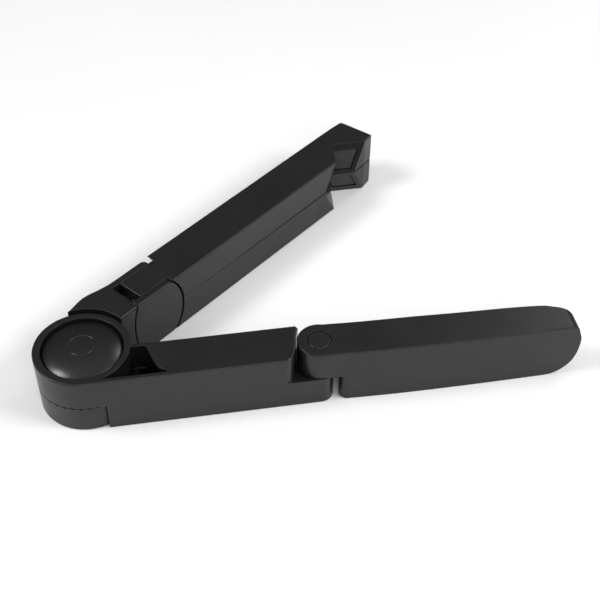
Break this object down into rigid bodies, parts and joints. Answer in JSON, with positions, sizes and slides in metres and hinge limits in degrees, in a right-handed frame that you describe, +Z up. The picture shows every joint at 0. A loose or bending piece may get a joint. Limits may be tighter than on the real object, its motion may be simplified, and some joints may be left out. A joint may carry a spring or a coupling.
{
  "type": "folding easel stand",
  "caption": "Folding tripod easel for a photo album or tablet: dome-button hub, hinged back leg with swinging extension, and two notched support arms that open apart.",
  "frame": {"origin": "hub axis at the surface the folded stand lies on", "axes": "+Z up along the hub axis, +X along the back leg, arms at 40 degrees from +X towards +Y"},
  "size_m": [0.191, 0.1315, 0.0247],
  "materials": {
    "satin_black": "fine satin moulded ABS",
    "button_black": "satin moulded ABS, slightly smoother",
    "cover_black": "matte moulded ABS",
    "pad_rubber": "soft rubber",
    "steel": "zinc plated",
    "spring_steel": "drawn wire",
    "washer_nylon": "natural acetal"
  },
  "bodies": {
    "base": {"hub_block": "satin_black", "near_cheek": "satin_black", "arm_axle": "steel", "axle_nut": "steel", "axle_washers": "washer_nylon", "hub_washer": "steel", "hub_screw": "steel"},
    "leg": {"leg_shell": "satin_black", "leg_bottom_plate": "cover_black", "leg_screws": "steel", "extension_pin": "button_black", "extension_pin_screw": "steel", "hub_spring": "spring_steel"},
    "button": {"hub_button": "button_black"},
    "extension": {"extension_shell": "satin_black", "extension_bottom_plate": "cover_black", "extension_screws": "steel", "extension_washer": "washer_nylon"},
    "upper_arm": {"upper_arm_shell": "satin_black", "upper_arm_cover": "cover_black", "upper_arm_screws": "steel", "upper_hook_pad": "pad_rubber"},
    "lower_arm": {"lower_arm_shell": "satin_black", "lower_arm_cover": "cover_black", "lower_arm_screws": "steel", "lower_hook_pad": "pad_rubber"}
  },
  "joints": [
    {"name": "leg_swing", "type": "hinge", "parent": "base", "child": "leg", "pos_m": [0, 0, 0.0124], "axis": [0, 0, 1], "range_deg": [-140, 40]},
    {"name": "extension_swing", "type": "hinge", "parent": "leg", "child": "extension", "pos_m": [0.0808, -0.00897, 0.0124], "axis": [0, 0, 1], "range_deg": [-60, 60]},
    {"name": "button_press", "type": "slide", "parent": "leg", "child": "button", "axis": [0, 0, -1], "range_m": [0, 0.0015], "stiffness_N_per_m": 400, "springref_m": -0.004, "deforming": ["hub_spring"]},
    {"name": "upper_arm_open", "type": "hinge", "parent": "base", "child": "upper_arm", "pos_m": [0.0226, 0.01896, 0.01235], "axis": [0.6428, -0.766, 0], "range_deg": [0, 28]},
    {"name": "lower_arm_open", "type": "hinge", "parent": "base", "child": "lower_arm", "pos_m": [0.0226, 0.01896, 0.01235], "axis": [-0.6428, 0.766, 0], "range_deg": [0, 28]}
  ]
}
